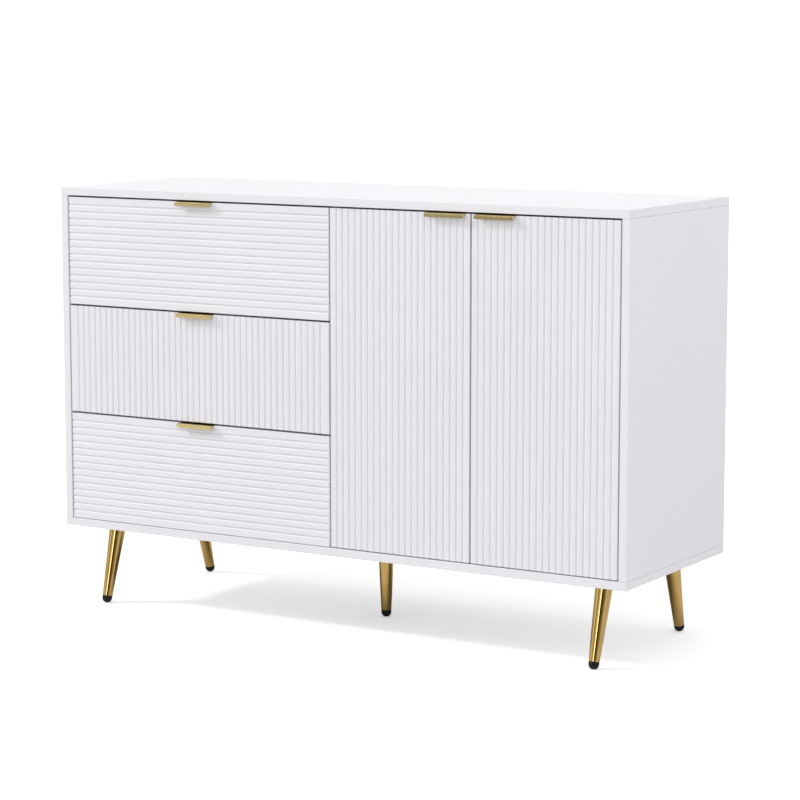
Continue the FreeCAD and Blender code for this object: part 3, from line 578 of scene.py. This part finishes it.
def make_leg(name, mount, underside):
    """A tapered gold tube, mitred flat under its plate, and its black cap with a dome and a plug."""
    centre, axis = leg_frame(mount)
    side = Vector((1, 0, 0))
    rear = axis.cross(side)
    reach = (underside - CAP_CENTRE) / axis.z - CAP_BAND + LEG_BLANK_WASTE
    taper = (LEG_TOP_RADIUS - LEG_FOOT_RADIUS) / reach

    def point(angle, along, inset):
        radius = LEG_FOOT_RADIUS + taper * (along - CAP_BAND) - inset
        return centre + axis * along + (side * math.cos(angle) + rear * math.sin(angle)) * radius

    def mitre(angle, inset):
        """Distance along the axis where a line of the tube's wall meets the plate."""
        rise = rear.z * math.sin(angle)
        start = LEG_FOOT_RADIUS - taper * CAP_BAND - inset
        return (underside - CAP_CENTRE - rise * start) / (axis.z + rise * taper)

    angles = [2 * math.pi * number / 96 for number in range(96)]
    rings = [[point(angle, CAP_BAND + rise, inset) for angle in angles]
             for rise, inset in ((0.0, 0.45 * MM), (0.12 * MM, 0.12 * MM), (0.45 * MM, 0.0))]
    rows = 8
    start = CAP_BAND + 0.45 * MM
    for row in range(1, rows + 1):
        rings.append([
            point(angle, start + (mitre(angle, 0.0) - start) * row / rows, 0.0) for angle in angles
        ])
    rings.append([point(angle, mitre(angle, LEG_WALL), LEG_WALL) for angle in angles])
    rings.append([point(angle, CAP_BAND, LEG_WALL) for angle in angles])
    tube = Shape().loft(rings, looped=True).finished(f"{name}_leg")
    piece(f"{name}_tapered_leg", tube, "polished_gold", "cabinet", [f"{name}_leg"])

    dome = [(CAP_RADIUS * math.sin(math.pi / 2 * step / 16), -CAP_RADIUS * math.cos(math.pi / 2 * step / 16))
            for step in range(17)]
    dome[0] = (AXIS_GAP, -CAP_RADIUS)
    profile = dome + [
        (CAP_RADIUS, CAP_BAND - 0.5 * MM), (CAP_RADIUS - 0.15 * MM, CAP_BAND - 0.15 * MM),
        (CAP_RADIUS - 0.5 * MM, CAP_BAND), (PLUG_RADIUS, CAP_BAND), (PLUG_RADIUS, PLUG_TOP - MM),
        (PLUG_RADIUS - 0.6 * MM, PLUG_TOP), (AXIS_GAP, PLUG_TOP),
    ]
    cap = Shape().turned(profile, centre, axis, 64)
    for vertex in cap.mesh.verts:
        vertex.co.z = max(vertex.co.z, 0.0)
    node = f"{name}_foot_cap"
    piece(f"{name}_domed_cap", cap.finished(node), "black_rubber", "cabinet", [node])


def make_legs():
    """Every leg stands on one of the record's foot mounts; plates and screws come with them."""
    mounts = [mount for mount in frame["record"]["mounts"] if mount["name"].endswith("_foot")]
    low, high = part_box("leg_plates")
    corners = rounded_rectangle(LEG_PLATE_HALF, LEG_PLATE_HALF, 6 * MM)
    plates = Shape()
    places = []
    for mount in mounts:
        name = mount["name"].removesuffix("_foot")
        make_leg(name, mount, low.z)
        centre, axis = leg_frame(mount)
        middle = centre + axis * ((high.z - CAP_CENTRE) / axis.z)
        plates.slab(corners, Matrix.Translation((middle.x, middle.y, low.z)), high.z - low.z, 0.5 * MM)
        offsets = (-LEG_PLATE_SCREW_OFFSET, LEG_PLATE_SCREW_OFFSET)
        places += [(middle.x + across, middle.y + back, low.z) for across in offsets for back in offsets]
    piece("leg_mounting_plates", plates.finished("leg_plates"), "black_plate", "cabinet", ["leg_plates"])
    make_screws("leg_plate_screws", screw_mesh("plate_screw"), places, Matrix(), "cabinet")


def make_pull_screws():
    """Two screws behind every pull, with their heads to the rear."""
    screw = screw_mesh("pull_screw")
    radius, height = SCREWS["pull_screw"][:2]
    turn = Matrix.Rotation(math.radians(90), 4, "X")
    for name in FRONTS:
        low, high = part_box(f"{name}_pull_screws")
        places = [(x, high.y - height, high.z - radius) for x in (low.x + radius, high.x - radius)]
        make_screws(f"{name}_pull_screws", screw, places, turn, name)


def make_cam_locks():
    """Twelve cam locks with a cross recess and a rim, flush with the boards that they sit in."""
    rim = 0.4 * MM
    profile = [
        (AXIS_GAP, CAM_DEPTH), (CAM_RADIUS - rim, CAM_DEPTH), (CAM_RADIUS, CAM_DEPTH - rim),
        (CAM_RADIUS, rim), (CAM_RADIUS - rim, 0.0), (CAM_RADIUS - 1.2 * MM, 0.0),
        (CAM_RADIUS - 1.5 * MM, 0.5 * MM), (AXIS_GAP, 0.5 * MM),
    ]
    mesh = Shape().turned(profile, segments=48).finished("cam_lock")
    for turn in (45, 135):
        matrix = Matrix.Rotation(math.radians(turn), 4, "Z")
        mesh = carved(mesh, Shape().bar(matrix, *CAM_CROSS, ((-MM, 1), (CAM_CROSS_DEPTH, 1))))
    low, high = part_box("cam_locks")
    faces = [
        (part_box("left_side_panel")[1].x, -1),
        (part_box("centre_divider")[0].x, 1),
        (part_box("right_side_panel")[0].x, 1),
    ]
    shape = Shape()
    for x, sign in faces:
        turn = Matrix.Rotation(math.radians(90 * sign), 4, "Y")
        for y in (low.y + CAM_RADIUS, high.y - CAM_RADIUS):
            for z in (low.z + CAM_RADIUS, high.z - CAM_RADIUS):
                shape.add(mesh, Matrix.Translation((x, y, z)) @ turn)
    piece("cam_lock_discs", shape.finished("cam_locks"), "zinc_fitting", "cabinet", ["cam_locks"])


def make_hinge_cups(name):
    """Two hinge cups: a drawn cup with a rim, a flange with round ends, and its two screws."""
    node = f"{name}_hinge_cups"
    shape = Shape()
    screw = screw_mesh("cup_screw")
    outer, inner = CUP_RADIUS, CUP_RADIUS - CUP_WALL
    profile = [
        (AXIS_GAP, -CUP_DEPTH), (outer - 2 * MM, -CUP_DEPTH), (outer - 0.6 * MM, -CUP_DEPTH + 0.6 * MM),
        (outer, -CUP_DEPTH + 2 * MM), (outer, 0.05 * MM), (outer + 1.5 * MM, 0.05 * MM),
        (outer + 1.8 * MM, 0.5 * MM), (outer + 1.5 * MM, 0.9 * MM), (inner + 0.5 * MM, 0.9 * MM),
        (inner, 0.5 * MM), (inner, -CUP_DEPTH + 3 * MM), (inner - 0.6 * MM, -CUP_DEPTH + 1.6 * MM),
        (inner - 2 * MM, -CUP_DEPTH + CUP_WALL), (AXIS_GAP, -CUP_DEPTH + CUP_WALL),
    ]
    corners = rounded_rectangle(FLANGE_HALF_WIDTH, FLANGE_HALF_HEIGHT, 8 * MM)
    for centre in cup_centres(node):
        shape.turned(profile, centre, (0, 1, 0), 64)
        upright = Matrix.Translation(centre) @ Matrix.Rotation(math.radians(-90), 4, "X")
        flange = Shape().slab(corners, upright, FLANGE_SHEET, 0.3 * MM, 8).finished("flange")
        hole = Shape().turned([(CUP_RADIUS, -MM), (CUP_RADIUS, 3 * MM)], centre, (0, 1, 0), 64)
        shape.add(carved(flange, hole), Matrix())
        for way in (-1, 1):
            place = centre + Vector((0, FLANGE_SHEET, way * FLANGE_SCREW_OFFSET))
            shape.add(screw, Matrix.Translation(place) @ Matrix.Rotation(math.radians(90), 4, "X"))
    piece(f"{name}_hinge_cup_set", shape.finished(node), "zinc_fitting", name, [node])


def channel_points(web, tip, low, high):
    """Section of a rolled channel, from its web to the tips of its flanges."""
    inner = web + math.copysign(RUNNER_SHEET, tip - web)
    edge, fold = 0.3 * MM, RUNNER_BEND - RUNNER_SHEET
    return outline([
        (web, low, RUNNER_BEND), (tip, low, edge),
        (tip, low + RUNNER_SHEET, edge), (inner, low + RUNNER_SHEET, fold),
        (inner, high - RUNNER_SHEET, fold), (tip, high - RUNNER_SHEET, edge),
        (tip, high, edge), (web, high, RUNNER_BEND),
    ], 4)


def make_runners(node, width, webs_outside, body):
    """The left and right member of a drawer's runners: rolled channels, each held by three screws."""
    low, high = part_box(node)
    screw = screw_mesh("runner_screw")
    shape = Shape()
    for outside, inside in ((low.x, low.x + width), (high.x, high.x - width)):
        web, tip = (outside, inside) if webs_outside else (inside, outside)
        section = channel_points(web, tip, low.z, high.z)
        shape.loft([[Vector((point.x, y, point.y)) for point in section] for y in (low.y, high.y)])
        away = math.copysign(1.0, web - tip)
        turn = Matrix.Rotation(math.radians(90 * away), 4, "Y")
        for along in (0.1, 0.5, 0.9):
            place = (web - away * RUNNER_SHEET, low.y + (high.y - low.y) * along, (low.z + high.z) / 2)
            shape.add(screw, Matrix.Translation(place) @ turn)
    piece(f"{node}_rolled", shape.finished(node), "zinc_fitting", body, [node])


def make_hinge_arms():
    """Four hinge arms: a screwed plate with round corners, and a tapered arm with two adjusting screws."""
    low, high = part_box("hinge_arms")
    half_plate_length, half_plate_height = 22.5 * MM, 20 * MM
    half_length, half_height, nose = (high.y - low.y) / 2, 7 * MM, 5 * MM
    plate_screw, adjuster = screw_mesh("arm_plate_screw"), screw_mesh("arm_adjuster")
    arm_top = ARM_HEIGHT - SCREWS["arm_adjuster"][1]
    head_out = Matrix.Rotation(math.pi, 4, "X")
    plate = rounded_rectangle(half_plate_length, half_plate_height, 8 * MM)
    shape = Shape()
    for face, away in ((low.x, 1), (high.x, -1)):
        front, rear = (nose, half_height) if away > 0 else (half_height, nose)
        arm = [(-half_length, -front, 3 * MM), (half_length, -rear, 3 * MM),
               (half_length, rear, 3 * MM), (-half_length, front, 3 * MM)]
        for z in (low.z + half_plate_height, high.z - half_plate_height):
            middle = (low.y + high.y) / 2
            place = Matrix(((0, 0, away, face), (away, 0, 0, middle), (0, 1, 0, z), (0, 0, 0, 1)))
            shape.slab(plate, place, ARM_PLATE, 0.4 * MM)
            shape.slab(arm, place @ Matrix.Translation((0, 0, ARM_PLATE)), arm_top - ARM_PLATE, 1.2 * MM)
            for way in (-1, 1):
                on_plate = Matrix.Translation((0, way * ARM_PLATE_SCREW_OFFSET, ARM_PLATE))
                on_arm = Matrix.Translation((way * ARM_ADJUSTER_OFFSET, 0, arm_top))
                shape.add(plate_screw, place @ on_plate @ head_out)
                shape.add(adjuster, place @ on_arm @ head_out)
    piece("hinge_arm_set", shape.finished("hinge_arms"), "zinc_fitting", "cabinet", ["hinge_arms"])


def make_shelf_pins():
    """Four shelf pins with chamfered ends and a thin collar that stops each at the board's face."""
    low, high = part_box("shelf_pins")
    collar, chamfer, middle = 0.9 * MM, 0.5 * MM, PIN_LENGTH / 2
    profile = [
        (AXIS_GAP, 0.0), (PIN_RADIUS - chamfer, 0.0), (PIN_RADIUS, chamfer), (PIN_RADIUS, middle - collar),
        (PIN_COLLAR_RADIUS, middle - collar), (PIN_COLLAR_RADIUS, middle), (PIN_RADIUS, middle),
        (PIN_RADIUS, PIN_LENGTH - chamfer), (PIN_RADIUS - chamfer, PIN_LENGTH), (AXIS_GAP, PIN_LENGTH),
    ]
    shape = Shape()
    for x, away in ((low.x + PIN_LENGTH, -1), (high.x - PIN_LENGTH, 1)):
        for y in (low.y + PIN_RADIUS, high.y - PIN_RADIUS):
            shape.turned(profile, (x, y, low.z + PIN_RADIUS), (away, 0, 0), 32)
    piece("shelf_pin_set", shape.finished("shelf_pins"), "zinc_fitting", "cabinet", ["shelf_pins"])


def make_joint_shadow_lines():
    """Painted shade: black strips that stand for the shadow in the hairline gaps where the sides meet the top
    and bottom boards, sunk behind the boards' faces.
    """
    depth, half = 0.35 * MM, 0.15 * MM
    shape = Shape()
    for side in ("left_side_panel", "right_side_panel"):
        low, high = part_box(side)
        for z in (low.z, high.z):
            inset = Vector((depth, depth, -half))
            shape.block(Vector((low.x, low.y, z)) + inset, Vector((high.x, high.y, z)) - inset)
    # The black finish on these strips is painted shadow in the joint gaps.
    piece("painted_joint_shadow_lines", shape.finished("joint_shadow_strips"), "black_plate", "cabinet")


def dress_cad_nodes():
    """Give each carried-over node the material of its slot."""
    for part in frame["record"]["subparts"]:
        node = frame["nodes"][part["node"]]
        node.data.materials.clear()
        node.data.materials.append(MATERIALS[part["material_slot"]])


class StudioTree(NodeTree):
    """A node tree for the studio round the object, which works out light levels with nodes."""

    def __init__(self, name, world=False):
        if not world:
            super().__init__(name)
            return
        self.world = bpy.data.worlds.new(name)
        self.world.use_nodes = True
        self.tree = self.world.node_tree
        self.shader = self.tree.nodes["Background"]
        self.shader.inputs["Color"].default_value = (1, 1, 1, 1)

    def plug(self, value, socket):
        """Set a socket to a number, or feed it from another node's socket."""
        if isinstance(value, (int, float)):
            socket.default_value = value
        else:
            self.tree.links.new(value, socket)

    def combine(self, operation, *values):
        """The result of a sum on levels."""
        node = self.add("ShaderNodeMath", operation=operation)
        for value, socket in zip(values, node.inputs):
            self.plug(value, socket)
        return node.outputs[0]

    def choose(self, condition, no, yes):
        """One level where a condition is 0 and another where it is 1."""
        mix = self.add("ShaderNodeMix", data_type="FLOAT")
        self.plug(condition, mix.inputs[0])
        self.plug(no, mix.inputs[2])
        self.plug(yes, mix.inputs[3])
        return mix.outputs[0]

    def split(self, vector):
        """The X, Y and Z of a vector."""
        parts = self.add("ShaderNodeSeparateXYZ")
        self.plug(vector, parts.inputs[0])
        return parts.outputs["X"], parts.outputs["Y"], parts.outputs["Z"]

    def around(self, x, y, stops):
        """Levels that follow the direction of (x, y), in degrees to the right of the front."""
        azimuth = self.combine("ARCTAN2", x, self.combine("MULTIPLY", y, -1.0))
        ramp = self.add("ShaderNodeValToRGB")
        elements = ramp.color_ramp.elements
        while len(elements) < len(stops):
            elements.new(0.5)
        for element, (degrees, level) in zip(elements, stops):
            element.position = (degrees + 180) / 360
            element.color = (level / BOX_GAIN, level / BOX_GAIN, level / BOX_GAIN, 1)
        self.plug(self.combine("MULTIPLY_ADD", azimuth, 0.5 / math.pi, 0.5), ramp.inputs[0])
        return self.combine("MULTIPLY", ramp.outputs["Color"], BOX_GAIN)


def add_surround():
    """A white tent with a soft box over the front; metal sees soft boxes and the dark between them."""
    nodes = StudioTree("white_tent", world=True)
    way = nodes.add("ShaderNodeTexCoord").outputs["Generated"]
    x, y, z = nodes.split(way)
    rise = nodes.combine("MAXIMUM", z, 0.0)
    walls = nodes.combine("MULTIPLY_ADD", rise, ZENITH_LEVEL - HORIZON_LEVEL, HORIZON_LEVEL)
    towards = nodes.add("ShaderNodeVectorMath", operation="DOT_PRODUCT")
    nodes.plug(way, towards.inputs[0])
    towards.inputs[1].default_value = OVERHEAD_BOX
    facing = nodes.combine("MAXIMUM", towards.outputs["Value"], 0.0)
    overhead = nodes.combine("MULTIPLY", nodes.combine("POWER", facing, OVERHEAD_FALL), OVERHEAD_LEVEL)
    tent = nodes.combine("ADD", walls, overhead)

    path = nodes.add("ShaderNodeLightPath")
    mirrored = nodes.choose(path.outputs["Is Glossy Ray"], tent, nodes.around(x, y, SOFT_BOXES))
    seen = nodes.choose(path.outputs["Is Camera Ray"], mirrored, BACKDROP)
    nodes.plug(seen, nodes.shader.inputs["Strength"])
    bpy.context.scene.world = nodes.world


def painted_mirrored_floor(nodes):
    """The painted light and shade of the floor that metal mirrors, and where on the floor it is: a painted
    shadow under the cabinet, an even level near it and painted lit and unlit stretches further off.
    """
    x, y, _ = nodes.split(nodes.add("ShaderNodeTexCoord").outputs["Object"])
    beyond = []
    for value, middle, half in zip((x, y), UNDER_MIDDLE, UNDER_HALF):
        away = nodes.combine("ABSOLUTE", nodes.combine("SUBTRACT", value, middle))
        beyond.append(nodes.combine("SUBTRACT", away, half))
    edge = nodes.add("ShaderNodeMapRange")
    nodes.plug(nodes.combine("MAXIMUM", *beyond), edge.inputs["Value"])
    for name, value in (("From Min", -UNDER_BLUR), ("From Max", UNDER_BLUR),
                        ("To Min", UNDER_SHADOW_LEVEL), ("To Max", NEAR_LEVEL)):
        edge.inputs[name].default_value = value
    reach = nodes.combine("SQRT", nodes.combine("MULTIPLY_ADD", x, x, nodes.combine("MULTIPLY", y, y)))
    far = nodes.combine("GREATER_THAN", reach, NEAR_REACH)
    return nodes.choose(far, edge.outputs[0], nodes.around(x, y, FAR_FLOOR))


def add_floor():
    """A pale floor that runs out of view on every side, and sends up less light than it shows."""
    mesh = bpy.data.meshes.new("floor")
    mesh.from_pydata([(x * FLOOR_HALF, y * FLOOR_HALF, 0) for x, y in SQUARE], [], [(0, 1, 2, 3)])
    floor = bpy.data.objects.new("floor", mesh)
    bpy.context.scene.collection.objects.link(floor)
    nodes = StudioTree("pale_floor")
    path = nodes.add("ShaderNodeLightPath")
    seen, glossy = path.outputs["Is Camera Ray"], path.outputs["Is Glossy Ray"]
    bounced = nodes.choose(glossy, FLOOR_BOUNCE, 0.0)
    nodes.plug(nodes.choose(seen, bounced, FLOOR_SEEN), nodes.shader.inputs["Base Color"])
    # Only glossy rays see the floor glow: a painted shadow under the cabinet and painted lit and unlit
    # stretches further off.
    mirrored = nodes.choose(glossy, 0.0, painted_mirrored_floor(nodes))
    nodes.plug(nodes.choose(seen, mirrored, FLOOR_GLOW), nodes.shader.inputs["Emission Strength"])
    nodes.shader.inputs["Emission Color"].default_value = (1, 1, 1, 1)
    nodes.shader.inputs["Roughness"].default_value = 0.9
    nodes.shader.inputs["Specular IOR Level"].default_value = 0.1
    mesh.materials.append(nodes.material)


def add_sun(name, strength, softness, side, rise):
    """A soft far light, given by its direction in degrees to the left of the front and above the floor."""
    light = bpy.data.lights.new(name, "SUN")
    light.energy = strength
    light.angle = math.radians(softness)
    lamp = bpy.data.objects.new(name, light)
    side, rise = math.radians(side), math.radians(rise)
    towards = Vector((-math.sin(side) * math.cos(rise), -math.cos(side) * math.cos(rise), math.sin(rise)))
    lamp.rotation_euler = towards.to_track_quat("Z", "Y").to_euler()
    bpy.context.scene.collection.objects.link(lamp)


def add_camera():
    """The camera stands to the right of the front, a little above the top."""
    lens = bpy.data.cameras.new("camera")
    lens.sensor_width = CAMERA_FILM
    lens.lens = CAMERA_LENS
    camera = bpy.data.objects.new("camera", lens)
    camera.location = CAMERA_PLACE
    camera.rotation_euler = Vector(CAMERA_LOOK).to_track_quat("-Z", "Y").to_euler()
    bpy.context.scene.collection.objects.link(camera)
    bpy.context.scene.camera = camera


bpy.context.scene.view_settings.view_transform = "Standard"
add_camera()
add_surround()
add_floor()
add_sun("key", *KEY_LIGHT)
add_sun("fill", *FILL_LIGHT)
dress_cad_nodes()
for drawer in DRAWERS:
    make_drawer_front(drawer, drawer == "middle_drawer")
for door in DOORS:
    make_door_panel(door)
    make_hinge_cups(door)
for front in FRONTS:
    make_pull(front)
for drawer in DRAWERS:
    make_runners(f"{drawer}_cabinet_runners", RAIL_WIDTH, True, "cabinet")
    make_runners(f"{drawer}_box_runners", SLIDER_WIDTH, False, drawer)
make_pull_screws()
make_cam_locks()
make_hinge_arms()
make_shelf_pins()
make_legs()
make_joint_shadow_lines()
